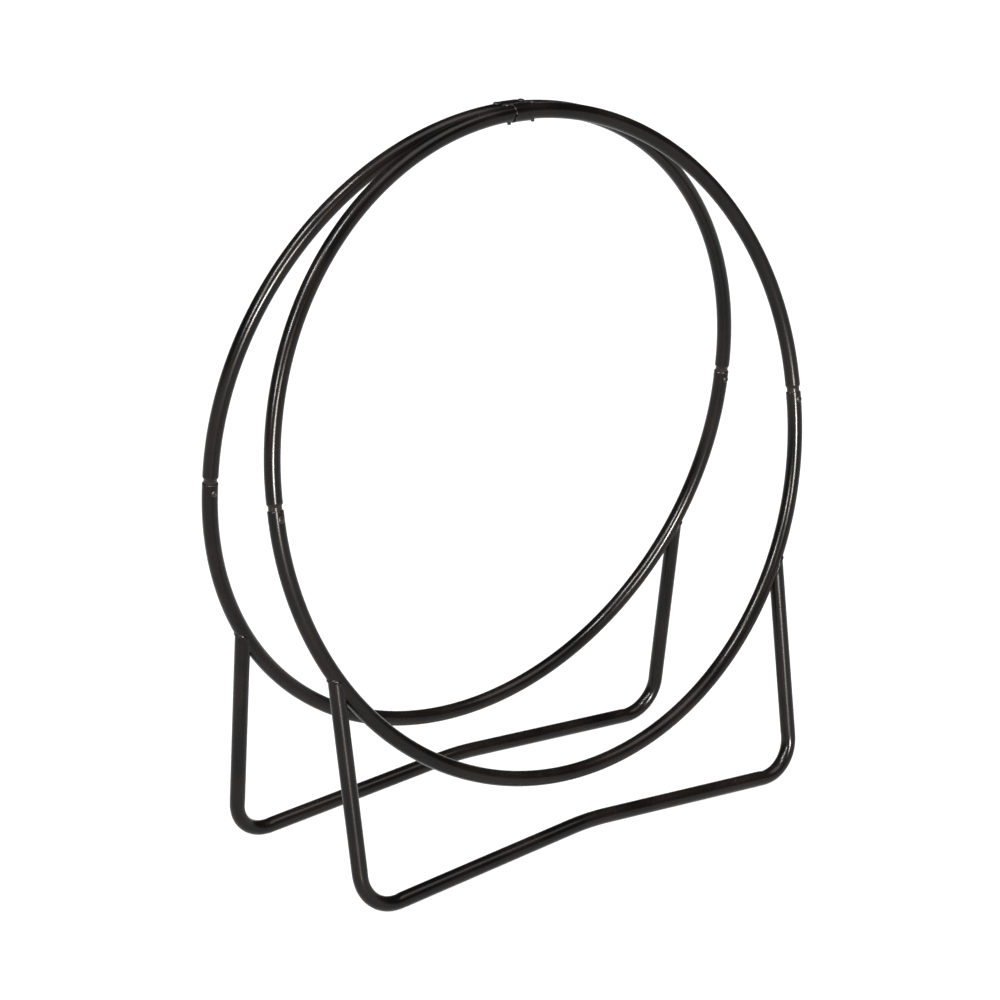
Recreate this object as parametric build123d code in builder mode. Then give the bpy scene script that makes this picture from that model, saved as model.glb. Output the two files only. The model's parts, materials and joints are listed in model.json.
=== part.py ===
from build123d import *
import os
from math import acos, atan, cos, degrees, radians, sin, tan

# Tubular steel log rack. Two round hoops lean against each other at the top, like
# the sides of a tent, and each stands on a U-shaped stand bent from one tube.
# A hoop is a lower half with two open ends, and two upper quarters whose reduced
# ends plug into it. The upper quarters meet on a twin coupler at the top. The tube is
# left straight at the side joints, so the hoop is slightly taller than it is wide.
#
# Frame, in millimetres: origin on the floor under the middle of the rack, +X across
# the hoops, +Y from the front hoop to the back one, +Z up.
# Places round a hoop are angles in the hoop's own plane, in degrees from its +X side.
# Depths are measured down the hoop's plane from the centre of its upper quarters' bend.

# --- driving dimensions ---
HOOP_WIDTH = 1016.0         # outside diameter of a hoop
HOOP_LEAN = 8.25            # each hoop leans this many degrees from upright
TUBE_DIAMETER = 24.0
TUBE_WALL = 1.2
NECK_DIAMETER = 20.0        # reduced ends of the upper quarters

JOINT_DEPTH = 6.0           # of the sockets' rims: the quarters' unbent length above them
SOCKET_STRAIGHT = 8.0       # unbent length at each end of a lower half
NECK_SHOWN = 11.0           # from the socket's rim to the full tube diameter
NECK_TAPER = 4.0            # length of the shoulder within that
NECK_HIDDEN = 34.0          # length plugged into the lower half
SIDE_SCREW_DROP = 12.0      # side screw's axis below the socket's rim

COLLAR_DIAMETER = 28.0
COLLAR_LENGTH = 32.0
COLLAR_GAP = 0.2            # between the two collars, bridged by their welds
SPIGOT_DIAMETER = 21.2
SPIGOT_LENGTH = 92.0
TOP_SCREW_OFFSET = 22.5     # top screws' axes each side of the hoop's top

LEG_SPREAD = 857.0          # between the legs' centre lines, where they meet the hoop
LEG_TOE = 0.7               # degrees that each leg draws in towards the floor
STAND_CORNER_RADIUS = 57.0
BAR_MIDDLE_DEPTH = 592.0    # of the floor bar's middle
BAR_RISE = 32.0             # the bar's middle stands this much above its corners' points
BAR_MIDDLE_RADIUS = 480.0
WELD_HEIGHT = 3.2           # of a leg weld up the leg, off the hoop's surface
WELD_SPREAD = 3.6           # and off the leg's surface, over the hoop

SCREW_DIAMETER = 6.0
SCREW_LENGTH = 28.0
SCREW_HOLE = 6.5
HEAD_DIAMETER = 10.5
HEAD_HEIGHT = 2.8
RECESS_WIDTH = 1.3
RECESS_SPAN = 6.4
RECESS_DEPTH = 2.4
NUT_WIDTH = 10.0            # across flats
NUT_HEIGHT = 5.0
DEBURR = 0.35               # rounding of the cut tube ends

# --- sizes that follow ---
TUBE_R = TUBE_DIAMETER / 2
TUBE_BORE_R = TUBE_R - TUBE_WALL
NECK_R = NECK_DIAMETER / 2
NECK_BORE_R = NECK_R - TUBE_WALL
SPIGOT_R = SPIGOT_DIAMETER / 2
SPIGOT_BORE_R = SPIGOT_R - TUBE_WALL
COLLAR_R = COLLAR_DIAMETER / 2
HOOP_R = (HOOP_WIDTH - TUBE_DIAMETER) / 2       # to the tube's centre line
LOWER_CENTRE_DEPTH = JOINT_DEPTH + SOCKET_STRAIGHT
LEG_X = LEG_SPREAD / 2
LEG_ANGLE = degrees(acos(LEG_X / HOOP_R))       # hoop angle below the sides where the legs meet it
LEG_TOP_DEPTH = LOWER_CENTRE_DEPTH + HOOP_R * sin(radians(LEG_ANGLE))

CORNER_DEPTH = BAR_MIDDLE_DEPTH + BAR_RISE
FOOT_X = LEG_X - tan(radians(LEG_TOE)) * (CORNER_DEPTH - LEG_TOP_DEPTH)
BAR_SLOPE = degrees(atan(BAR_RISE / FOOT_X))
# The corner arc's centre lies on the line that halves the angle of leg and bar.
CORNER_CENTRE_RISE = (
    STAND_CORNER_RADIUS
    * sin(radians((90 + LEG_TOE + BAR_SLOPE) / 2))
    / sin(radians((90 + LEG_TOE - BAR_SLOPE) / 2))
)
LOWEST_DEPTH = CORNER_DEPTH - CORNER_CENTRE_RISE + STAND_CORNER_RADIUS

COS_LEAN = cos(radians(HOOP_LEAN))
SIN_LEAN = sin(radians(HOOP_LEAN))
HOOP_CENTRE_Z = TUBE_R + LOWEST_DEPTH * COS_LEAN
TOP_Z = HOOP_CENTRE_Z + HOOP_R * COS_LEAN
TOP_Y = COLLAR_R + COLLAR_GAP / 2
HOOP_CENTRE_Y = TOP_Y + HOOP_R * SIN_LEAN

# The upper quarters' own centre is the origin of each plane. Its x runs across the
# rack, its y up the hoop, and its z towards the front.
HOOPS = {
    "front": Plane((0, -HOOP_CENTRE_Y, HOOP_CENTRE_Z), x_dir=(1, 0, 0), z_dir=(0, -COS_LEAN, SIN_LEAN)),
    "back": Plane((0, HOOP_CENTRE_Y, HOOP_CENTRE_Z), x_dir=(1, 0, 0), z_dir=(0, -COS_LEAN, -SIN_LEAN)),
}


def lower_centre(hoop):
    """The same plane about the lower half's own centre, below its straight ends."""
    centre = hoop.from_local_coords((0, -LOWER_CENTRE_DEPTH, 0))
    return Plane(centre, x_dir=hoop.x_dir, z_dir=hoop.z_dir)


def arc_angle(length):
    """The hoop angle that a length along the tube's centre line covers."""
    return degrees(length / HOOP_R)


def section_plane(hoop, angle):
    """The plane across the tube at a hoop angle: x points away from the hoop's centre."""
    outward = Vector(cos(radians(angle)), sin(radians(angle)), 0)
    point = hoop.from_local_coords(outward * HOOP_R)
    radial = (point - hoop.origin).normalized()
    return Plane(point, x_dir=radial, z_dir=hoop.z_dir.cross(radial))


def tube_run(hoop, start, end, outer, bore=0.0, mode=Mode.ADD):
    """Turn a round section about the hoop's axis from one hoop angle to another."""
    with BuildSketch(section_plane(hoop, start)) as section:
        Circle(outer)
        if bore:
            Circle(bore, mode=Mode.SUBTRACT)
    axis = Axis(hoop.origin, hoop.z_dir)
    revolve(section.sketch, axis=axis, revolution_arc=end - start, mode=mode)


def straight_run(hoop, x, top, length, outer, bore=0.0, mode=Mode.ADD):
    """A straight tube down the hoop's plane, from a height on it."""
    start = hoop.from_local_coords((x, top, 0))
    with BuildSketch(Plane(start, x_dir=hoop.x_dir, z_dir=-hoop.y_dir)) as section:
        Circle(outer)
        if bore:
            Circle(bore, mode=Mode.SUBTRACT)
    extrude(section.sketch, amount=length, mode=mode)


def taper_run(hoop, angle_a, radius_a, angle_b, radius_b, mode=Mode.ADD):
    """Join a round section at one hoop angle to a different one close by."""
    with BuildSketch(section_plane(hoop, angle_a)) as section_a:
        Circle(radius_a)
    with BuildSketch(section_plane(hoop, angle_b)) as section_b:
        Circle(radius_b)
    loft([section_a.sketch.face(), section_b.sketch.face()], ruled=True, mode=mode)


def drill(axis_plane, radius, reach=TUBE_DIAMETER):
    """Cut a round hole through both walls, along the z of a plane on the tube's centre line."""
    with BuildSketch(axis_plane) as hole:
        Circle(radius)
    extrude(hole.sketch, amount=reach, both=True, mode=Mode.SUBTRACT)


def side_screw_plane(hoop, side):
    """On the tube's centre line at a side joint, z towards the screw's head at the front."""
    x = HOOP_R if side == "right" else -HOOP_R
    return Plane(hoop.from_local_coords((x, -JOINT_DEPTH - SIDE_SCREW_DROP, 0)), x_dir=hoop.y_dir, z_dir=hoop.z_dir)


def top_screw_plane(hoop, side):
    """On the tube's centre line beside the top collar, z towards the screw's head above."""
    offset = arc_angle(TOP_SCREW_OFFSET)
    section = section_plane(hoop, 90 - offset if side == "right" else 90 + offset)
    return Plane(section.origin, x_dir=section.z_dir, z_dir=section.x_dir)


def side_joint_planes():
    return [side_screw_plane(hoop, side) for hoop in HOOPS.values() for side in ("left", "right")]


def top_joint_planes():
    return [top_screw_plane(hoop, side) for hoop in HOOPS.values() for side in ("left", "right")]


def finish(builder, label):
    """Name a finished piece and write it to its own file."""
    builder.part.label = label
    export_step(builder.part, f"parts/{label}.step")
    return builder.part


os.makedirs("parts", exist_ok=True)

# --- lower halves: one bent tube each, with open sockets at the sides ---
for name, hoop in HOOPS.items():
    with BuildPart() as lower_half:
        tube_run(lower_centre(hoop), -180, 0, TUBE_R, TUBE_BORE_R)
        for x in (-HOOP_R, HOOP_R):
            straight_run(hoop, x, -JOINT_DEPTH, SOCKET_STRAIGHT, TUBE_R, TUBE_BORE_R)
        rims = lower_half.faces().filter_by(GeomType.PLANE).edges().group_by(Edge.length.fget)[-1]
        fillet(rims, DEBURR)
        for side in ("left", "right"):
            drill(side_screw_plane(hoop, side), SCREW_HOLE / 2)
    finish(lower_half, f"{name}_lower_half")

# --- upper quarters: reduced neck, shoulder, then full tube up to the top coupler ---
neck_length = JOINT_DEPTH + NECK_HIDDEN
neck_top = arc_angle(NECK_SHOWN - NECK_TAPER - JOINT_DEPTH)
shoulder_top = arc_angle(NECK_SHOWN - JOINT_DEPTH)
collar_face = 90 - arc_angle(COLLAR_LENGTH / 2)

for name, hoop in HOOPS.items():
    # A left quarter is a right one seen in the rack's middle plane.
    with BuildPart() as right_quarter:
        straight_run(hoop, HOOP_R, 0, neck_length, NECK_R)
        tube_run(hoop, 0, neck_top, NECK_R)
        taper_run(hoop, neck_top, NECK_R, shoulder_top, TUBE_R)
        tube_run(hoop, shoulder_top, collar_face, TUBE_R)
        straight_run(hoop, HOOP_R, 0, neck_length, NECK_BORE_R, mode=Mode.SUBTRACT)
        tube_run(hoop, 0, neck_top, NECK_BORE_R, mode=Mode.SUBTRACT)
        taper_run(hoop, neck_top, NECK_BORE_R, shoulder_top, TUBE_BORE_R, mode=Mode.SUBTRACT)
        tube_run(hoop, shoulder_top, collar_face, TUBE_BORE_R, mode=Mode.SUBTRACT)
        drill(side_screw_plane(hoop, "right"), SCREW_HOLE / 2)
        drill(top_screw_plane(hoop, "right"), SCREW_HOLE / 2)
    finish(right_quarter, f"{name}_right_upper_quarter")

    with BuildPart() as left_quarter:
        add(mirror(right_quarter.part, about=Plane.YZ, mode=Mode.PRIVATE))
    finish(left_quarter, f"{name}_left_upper_quarter")

# --- top coupler: a spigot inside the quarters and a collar between them, per hoop ---
for name, hoop in HOOPS.items():
    half_spigot = arc_angle(SPIGOT_LENGTH / 2)
    with BuildPart() as spigot:
        tube_run(hoop, 90 - half_spigot, 90 + half_spigot, SPIGOT_R, SPIGOT_BORE_R)
        for side in ("left", "right"):
            drill(top_screw_plane(hoop, side), SCREW_HOLE / 2)
    finish(spigot, f"{name}_top_spigot")

    with BuildPart() as collar:
        tube_run(hoop, collar_face, 180 - collar_face, COLLAR_R, SPIGOT_R)
        rims = collar.faces().filter_by(GeomType.PLANE).edges().group_by(Edge.length.fget)[-1]
        fillet(rims, 2 * DEBURR)
    finish(collar, f"{name}_top_collar")

# --- the welds that join the two collars, in the grooves above and below their contact ---
GROOVE_ROOT = 3.0           # the weld's root and face, above or below the contact line
WELD_FACE = 8.7
WELD_WIDTH = 6.6
WELD_LENGTH = 26.0
with BuildPart() as collar_welds:
    for direction in (1, -1):
        with BuildSketch(Plane.YZ.offset(-WELD_LENGTH / 2)) as groove:
            with Locations((0, TOP_Z + direction * (GROOVE_ROOT + WELD_FACE) / 2)):
                Rectangle(WELD_WIDTH, WELD_FACE - GROOVE_ROOT)
        extrude(groove.sketch, amount=WELD_LENGTH)
    # Each weld fills its groove only as far as the collars' flanks.
    for hoop in HOOPS.values():
        tube_run(hoop, collar_face, 180 - collar_face, COLLAR_R, mode=Mode.SUBTRACT)
finish(collar_welds, "collar_welds")

# --- stands: two legs and a floor bar from one tube, coped to the hoop's outside ---
# The floor bar rises to its middle, so the rack rests on the four corners alone.
COPE_GAP = 0.3              # fit-up gap between a leg's cope and the hoop
LEG_OVERLAP = 30.0          # of the uncoped leg past the hoop's centre line
start_x = LEG_X + tan(radians(LEG_TOE)) * LEG_OVERLAP
start_y = LEG_OVERLAP - LEG_TOP_DEPTH
route_points = [
    (-start_x, start_y), (-FOOT_X, -CORNER_DEPTH), (0, -BAR_MIDDLE_DEPTH),
    (FOOT_X, -CORNER_DEPTH), (start_x, start_y),
]
route_radii = [STAND_CORNER_RADIUS, BAR_MIDDLE_RADIUS, STAND_CORNER_RADIUS]
for name, hoop in HOOPS.items():
    with BuildPart() as stand:
        with BuildLine(hoop) as route:
            FilletPolyline(*route_points, radius=route_radii)
        with BuildSketch(Plane(route.line @ 0, x_dir=hoop.x_dir, z_dir=route.line % 0)):
            Circle(TUBE_R)
            Circle(TUBE_BORE_R, mode=Mode.SUBTRACT)
        sweep()
        # Cope the leg tops: nothing is left inside the hoop's centre line or its tube.
        with BuildSketch(lower_centre(hoop).offset(-TUBE_DIAMETER)) as hoop_disc:
            Circle(HOOP_R)
        extrude(hoop_disc.sketch, amount=2 * TUBE_DIAMETER, mode=Mode.SUBTRACT)
        tube_run(lower_centre(hoop), -180, 0, TUBE_R + COPE_GAP, mode=Mode.SUBTRACT)
    finish(stand, f"{name}_stand")

# --- leg welds: a bead round each leg's coped top ---
WELD_REACH = 5.0                                # degrees of the hoop that a weld stays within
WELD_GAP = 0.03                                 # keeps the weld's inner face clear of the leg's
for name, hoop in HOOPS.items():
    arc = lower_centre(hoop)
    for side, sign, angle in (("left", -1, LEG_ANGLE - 180), ("right", 1, -LEG_ANGLE)):
        leg_foot = hoop.from_local_coords((sign * FOOT_X, -CORNER_DEPTH, 0))
        leg_top = hoop.from_local_coords((sign * LEG_X, -LEG_TOP_DEPTH, 0))
        with BuildPart() as weld:
            # A skin on the hoop, kept where it lies close round the leg and outside the hoop.
            tube_run(arc, angle - WELD_REACH, angle + WELD_REACH, TUBE_R + WELD_HEIGHT, TUBE_R)
            with BuildSketch(Plane(leg_foot, z_dir=leg_top - leg_foot)) as around_leg:
                Circle(TUBE_R + WELD_SPREAD)
                Circle(TUBE_R + WELD_GAP, mode=Mode.SUBTRACT)
            extrude(around_leg.sketch, amount=HOOP_R, mode=Mode.INTERSECT)
            with BuildSketch(arc.offset(-TUBE_DIAMETER)) as hoop_disc:
                Circle(HOOP_R - WELD_HEIGHT)
            extrude(hoop_disc.sketch, amount=2 * TUBE_DIAMETER, mode=Mode.SUBTRACT)
        finish(weld, f"{name}_{side}_leg_weld")

# --- pan-head screws: the head's seat is at z = 0 and the shank runs down ---
HEAD_EDGE = 0.8             # height of the head's straight side
DOME_RISE = HEAD_HEIGHT - HEAD_EDGE
DOME_RADIUS = ((HEAD_DIAMETER / 2) ** 2 + DOME_RISE**2) / (2 * DOME_RISE)
TIP_CHAMFER = 0.9
with BuildPart() as screw:
    with BuildSketch(Plane.XZ):
        with BuildLine():
            outline = Polyline(
                (0, HEAD_HEIGHT), (0, -SCREW_LENGTH),
                (SCREW_DIAMETER / 2 - TIP_CHAMFER, -SCREW_LENGTH),
                (SCREW_DIAMETER / 2, TIP_CHAMFER - SCREW_LENGTH),
                (SCREW_DIAMETER / 2, 0), (HEAD_DIAMETER / 2, 0), (HEAD_DIAMETER / 2, HEAD_EDGE),
            )
            RadiusArc(outline @ 1, outline @ 0, -DOME_RADIUS)
        make_face()
    revolve(axis=Axis.Z)
    with BuildSketch(Plane.XY.offset(HEAD_HEIGHT)):
        Rectangle(RECESS_SPAN, RECESS_WIDTH)
        Rectangle(RECESS_WIDTH, RECESS_SPAN)
    extrude(amount=-RECESS_DEPTH, taper=8, mode=Mode.SUBTRACT)


def screw_set(joint_planes, label):
    with BuildPart() as screws:
        with Locations(*[plane.offset(TUBE_R).location for plane in joint_planes]):
            add(screw.part)
    finish(screws, label)


screw_set(side_joint_planes(), "side_joint_screws")
screw_set(top_joint_planes(), "top_joint_screws")


# --- captive nuts: hexagons welded into the far wall of the necks and spigots ---
def captive_nut(joint_plane, bore):
    with BuildPart() as nut:
        with BuildSketch(joint_plane.offset(-bore)) as hexagon:
            RegularPolygon(NUT_WIDTH / 2, 6, major_radius=False)
            Circle(SCREW_DIAMETER / 2, mode=Mode.SUBTRACT)
        extrude(hexagon.sketch, amount=NUT_HEIGHT)
        # Its seat follows the round wall that it is welded to.
        along_tube = Plane(joint_plane.origin, z_dir=joint_plane.x_dir)
        with BuildSketch(along_tube.offset(-NUT_WIDTH)) as wall:
            Circle(bore)
        extrude(wall.sketch, amount=2 * NUT_WIDTH, mode=Mode.INTERSECT)
    return nut.part


def nut_set(nuts, label):
    with BuildPart() as group:
        add(nuts)
    finish(group, label)


nut_set([captive_nut(plane, NECK_BORE_R) for plane in side_joint_planes()], "side_joint_nuts")
nut_set([captive_nut(plane, SPIGOT_BORE_R) for plane in top_joint_planes()], "top_joint_nuts")
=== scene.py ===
"""Looks of a tubular steel log rack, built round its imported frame.

Two enamelled hoops lean together at the top, and each stands on a stand bent from one
tube. Every enamelled tube, coupler, weld and screw is built here with its finish.
Lengths are in metres.
"""

from __future__ import annotations

import json
import logging
import math
from collections.abc import Callable, Sequence
from dataclasses import asdict, dataclass, field, replace
from enum import Enum
from typing import Any

import bpy
import numpy as np
from mathutils import Matrix, Vector

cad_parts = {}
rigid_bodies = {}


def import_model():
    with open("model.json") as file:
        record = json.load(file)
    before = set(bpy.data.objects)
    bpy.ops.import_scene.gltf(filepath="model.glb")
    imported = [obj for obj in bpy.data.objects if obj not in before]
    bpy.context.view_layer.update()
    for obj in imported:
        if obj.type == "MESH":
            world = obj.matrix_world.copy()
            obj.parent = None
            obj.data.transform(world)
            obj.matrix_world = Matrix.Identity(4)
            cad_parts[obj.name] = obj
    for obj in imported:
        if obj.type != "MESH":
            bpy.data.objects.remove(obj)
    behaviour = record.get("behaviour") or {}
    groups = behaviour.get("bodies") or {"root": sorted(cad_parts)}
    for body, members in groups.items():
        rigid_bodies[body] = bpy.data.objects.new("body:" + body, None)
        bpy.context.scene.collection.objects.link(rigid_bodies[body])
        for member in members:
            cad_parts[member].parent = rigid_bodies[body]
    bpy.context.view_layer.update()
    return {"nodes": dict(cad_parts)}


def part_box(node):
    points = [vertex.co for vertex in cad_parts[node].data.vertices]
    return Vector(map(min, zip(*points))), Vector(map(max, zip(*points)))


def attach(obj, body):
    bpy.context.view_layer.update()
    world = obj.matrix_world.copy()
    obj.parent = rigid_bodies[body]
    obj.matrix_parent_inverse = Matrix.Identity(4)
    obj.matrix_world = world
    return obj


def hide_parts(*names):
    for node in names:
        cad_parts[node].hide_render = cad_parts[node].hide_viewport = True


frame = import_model()

BODY = "root"
MM = 0.001
ENAMEL_SLOT = "black_enamel"
COUPLER_SLOT = "coupler_enamel"
WELD_SLOT = "painted_weld"
SCREW_SLOT = "black_screw"
NUT_SLOT = "plated_nut"

Array = np.ndarray
Colour = tuple[float, float, float]
Seat = tuple[Vector, Vector, float]
SkinRule = Callable[[Array, Array], Array]
log = logging.getLogger("log_rack")


class Side(Enum):
    """The two hoops, each named by where it stands."""

    FRONT = "front"
    BACK = "back"

    @property
    def sign(self) -> int:
        """The sign of the hoop's Y."""
        return -1 if self is Side.FRONT else 1


class Hand(Enum):
    """Left and right, seen from the front."""

    LEFT = "left"
    RIGHT = "right"

    @property
    def sign(self) -> int:
        """The sign of this hand's X."""
        return -1 if self is Hand.LEFT else 1


def linked(name: str, data: bpy.types.ID) -> bpy.types.Object:
    """Puts a new object in the scene, at the origin.

    Args:
        name: The object's name.
        data: Its mesh, light or camera.

    Returns:
        The object.
    """
    thing = bpy.data.objects.new(name, data)
    bpy.context.scene.collection.objects.link(thing)
    return thing


def applied(piece: bpy.types.Object) -> bpy.types.Mesh:
    """Turns what a piece's modifiers make into its plain mesh.

    Args:
        piece: The piece, which loses its modifiers.

    Returns:
        The plain mesh.
    """
    bpy.context.view_layer.update()
    evaluated = piece.evaluated_get(bpy.context.evaluated_depsgraph_get())
    mesh = bpy.data.meshes.new_from_object(evaluated)
    piece.modifiers.clear()
    piece.data = mesh
    return mesh


# --- shader maths ---


class Wire:
    """A socket that a shader expression can be written with."""

    def __init__(self, graph: Graph, socket: bpy.types.NodeSocket) -> None:
        """Wraps an output socket of one graph."""
        self.graph = graph
        self.socket = socket

    def _math(self, operation: str, *values: Any) -> Wire:
        """One Math node on these values."""
        return self.graph.add("ShaderNodeMath", {"operation": operation}, dict(enumerate(values)))

    def __add__(self, other: Wire | float) -> Wire:
        """Sum."""
        return self._math("ADD", self, other)

    def __radd__(self, other: float) -> Wire:
        """Sum, with the number first."""
        return self._math("ADD", other, self)

    def __sub__(self, other: Wire | float) -> Wire:
        """Difference."""
        return self._math("SUBTRACT", self, other)

    def __rsub__(self, other: float) -> Wire:
        """Difference, with the number first."""
        return self._math("SUBTRACT", other, self)

    def __mul__(self, other: Wire | float) -> Wire:
        """Product."""
        return self._math("MULTIPLY", self, other)

    def __rmul__(self, other: float) -> Wire:
        """Product, with the number first."""
        return self._math("MULTIPLY", other, self)

    def __rtruediv__(self, other: float) -> Wire:
        """A number over the value."""
        return self._math("DIVIDE", other, self)

    def __pow__(self, other: float) -> Wire:
        """Power."""
        return self._math("POWER", self, other)

    def between(self, low: float, high: float) -> Wire:
        """A smooth step from 0 at low to 1 at high.

        Args:
            low: Value that gives 0.
            high: Value that gives 1. It may be less than low, which turns the step round.

        Returns:
            The step.
        """
        settings = {"interpolation_type": "SMOOTHSTEP"}
        values = {"Value": self, "From Min": low, "From Max": high}
        return self.graph.add("ShaderNodeMapRange", settings, values)

    def clamp(self) -> Wire:
        """The value held between 0 and 1."""
        return self.graph.add("ShaderNodeClamp", {}, {"Value": self})


class Graph:
    """A node tree, and the one way that nodes are added to it."""

    def __init__(self, tree: bpy.types.NodeTree) -> None:
        """Takes a tree and empties it."""
        self.tree = tree
        self.tree.nodes.clear()

    def add(
        self,
        kind: str,
        settings: dict[str, Any] | None = None,
        values: dict[str | int, Any] | None = None,
        output: str | int | None = 0,
    ) -> Wire | None:
        """Adds a node, sets it up and links it.

        Args:
            kind: The node's type.
            settings: Its properties, set before its sockets.
            values: Numbers, colours or wires for its input sockets, by name or number.
            output: The output socket to return, or None for a node that has none.

        Returns:
            The output, ready for an expression.
        """
        node = self.tree.nodes.new(kind)
        for key, value in (settings or {}).items():
            setattr(node, key, value)
        for key, value in (values or {}).items():
            socket = node.inputs[key]
            if isinstance(value, Wire):
                self.tree.links.new(value.socket, socket)
            else:
                socket.default_value = value
        return None if output is None else Wire(self, node.outputs[output])


class MaterialGraph(Graph):
    """A material's nodes."""

    def __init__(self, name: str) -> None:
        """Makes a material with an empty tree.

        Args:
            name: The material's name.
        """
        self.material = bpy.data.materials.new(name)
        self.material.use_nodes = True
        super().__init__(self.material.node_tree)

    def noise(self, where: Wire, size: float, detail: float = 2.0, rough: float = 0.5) -> Wire:
        """Noise from 0 to 1 whose features are about this size, in metres."""
        values = {"Vector": where, "Scale": 1.0 / size, "Detail": detail, "Roughness": rough}
        return self.add("ShaderNodeTexNoise", {}, values)

    def place(self) -> Wire:
        """The piece's own coordinates."""
        return self.add("ShaderNodeTexCoord", output="Object")

    def attribute(self, name: str) -> Wire:
        """A number that the piece's mesh holds at each point."""
        return self.add("ShaderNodeAttribute", {"attribute_name": name}, output="Fac")

    def mix(self, share: Wire | float, first: Wire | Colour, second: Wire | Colour) -> Wire:
        """A colour between two.

        Args:
            share: 0 gives the first and 1 the second.
            first: A colour or a wire.
            second: A colour or a wire.

        Returns:
            The mixed colour.
        """
        first, second = (c if isinstance(c, Wire) else (*c, 1.0) for c in (first, second))
        values = {0: share, 6: first, 7: second}
        return self.add("ShaderNodeMix", {"data_type": "RGBA"}, values, output=2)

    def finish(self, shader: dict[str, Any]) -> bpy.types.Material:
        """Adds the Principled shader and the output.

        Args:
            shader: Values and wires for the shader's sockets.

        Returns:
            The material.
        """
        surface = self.add("ShaderNodeBsdfPrincipled", {}, shader)
        self.add("ShaderNodeOutputMaterial", {}, {"Surface": surface}, output=None)
        return self.material


# --- finishes ---


@dataclass(frozen=True)
class Enamel:
    """Black semi-gloss coat over steel tube, thin on edges and dusty on top.

    A piece's "wear" attribute says where the coat may be chipped, and its "thin"
    attribute where the coat is scuffed and rougher, with a painted brownish sheen.
    """

    name: str
    coat: Colour = (0.0008, 0.0007, 0.0007)
    warm: Colour = (0.0030, 0.0020, 0.0016)
    # Lighter, browner colour of the scuffed necks: a painted brownish sheen.
    scuffed: Colour = (0.0085, 0.0062, 0.0050)
    steel: Colour = (0.17, 0.155, 0.14)
    dust: Colour = (0.09, 0.08, 0.07)
    roughness: float = 0.27
    gloss: float = 0.28
    gloss_roughness: float = 0.2
    underlayer_shine: float = 0.04
    cloud_size: float = 110 * MM
    patch_size: float = 14 * MM
    peel_size: float = 3.0 * MM
    peel_depth: float = 0.006 * MM
    flake_size: float = 2.2 * MM
    speck_size: float = 1.1 * MM
    grit_size: float = 0.55 * MM

    def material(self) -> bpy.types.Material:
        """Builds the material.

        Returns:
            The finished material.
        """
        g = MaterialGraph(self.name)
        place = g.place()
        broad = g.noise(place, self.cloud_size, 3)
        patches = g.noise(place, self.patch_size, 4, 0.6)
        peel = g.noise(place, self.peel_size, 1)
        grit = g.noise(place, self.grit_size, 2)
        flakes = g.noise(place, self.flake_size, 3, 0.65)

        # Chips need a worn edge and a flake of the coat; scuffs, with their painted brownish
        # sheen, come in patches.
        wear, thin = g.attribute("wear"), g.attribute("thin")
        chips = (flakes * 0.8 + patches * 0.5 + wear * 0.45).between(1.12, 1.17)
        rubbed = (thin * (0.35 + patches * 0.9)).clamp()

        # Dust settles on faces that look up.
        normal = g.add("ShaderNodeNewGeometry", output="Normal")
        up = g.add("ShaderNodeSeparateXYZ", {}, {0: normal}, output="Z")
        settled = up.between(0.25, 1.0) * broad.between(0.35, 0.7)
        specks = g.noise(place, self.speck_size, 1).between(0.66, 0.74) * settled

        colour = g.mix(broad.between(0.35, 0.68), self.coat, self.warm)
        # Painted sheen: the scuffed necks are coloured lighter and browner.
        colour = g.mix(rubbed, colour, self.scuffed)
        colour = g.mix(specks * 0.5 + settled * 0.012, colour, self.dust)
        colour = g.mix(chips, colour, self.steel)

        roughness = self.roughness + (patches - 0.5) * 0.16 + rubbed * 0.12
        roughness = roughness + specks * 0.25 + chips * 0.1
        height = peel + grit * 0.1 + patches * 0.4 - chips * 1.2
        dents = {"Strength": 1.0, "Distance": self.peel_depth, "Height": height}
        return g.finish({
            "Base Color": colour,
            "Roughness": roughness.clamp(),
            "Metallic": chips * 0.9,
            "Coat Weight": (self.gloss * (1 - chips) * (1 - specks * 0.8)).clamp(),
            "Coat Roughness": self.gloss_roughness,
            "Coat IOR": 1.5,
            "Specular IOR Level": self.underlayer_shine,
            "Normal": g.add("ShaderNodeBump", {}, dents),
        })


@dataclass(frozen=True)
class Plating:
    """A thin plated layer on steel hardware, rubbed bright on its edges."""

    name: str
    plate: Colour
    tint: Colour
    bare: Colour = (0.52, 0.49, 0.45)
    roughness: float = 0.32
    metallic: float = 0.85
    cloud_size: float = 3.0 * MM
    grain_size: float = 0.35 * MM
    grain_depth: float = 0.03 * MM

    def material(self) -> bpy.types.Material:
        """Builds the material.

        Returns:
            The finished material.
        """
        g = MaterialGraph(self.name)
        place = g.place()
        cloud = g.noise(place, self.cloud_size, 3)
        grain = g.noise(place, self.grain_size, 3, 0.7)
        rubbed = (g.attribute("wear") * 0.8 + grain * 0.5).between(0.78, 0.98)
        colour = g.mix(cloud.between(0.35, 0.65), self.plate, self.tint)
        colour = g.mix(rubbed, colour, self.bare)
        height = grain * 0.6 + cloud
        dents = {"Strength": 0.5, "Distance": self.grain_depth, "Height": height}
        return g.finish({
            "Base Color": colour,
            "Roughness": self.roughness + (cloud - 0.5) * 0.3,
            "Metallic": self.metallic,
            "Normal": g.add("ShaderNodeBump", {}, dents),
        })


@dataclass(frozen=True)
class Paper:
    """The pale ground that the rack stands on."""

    name: str = "pale_ground"
    colour: Colour = (0.52, 0.52, 0.5175)
    roughness: float = 0.9
    shine: float = 0.1

    def material(self) -> bpy.types.Material:
        """Builds the material.

        Returns:
            The finished material.
        """
        g = MaterialGraph(self.name)
        return g.finish({
            "Base Color": (*self.colour, 1.0),
            "Roughness": self.roughness,
            "Specular IOR Level": self.shine,
        })


# --- geometry of the bent tubes ---


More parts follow.
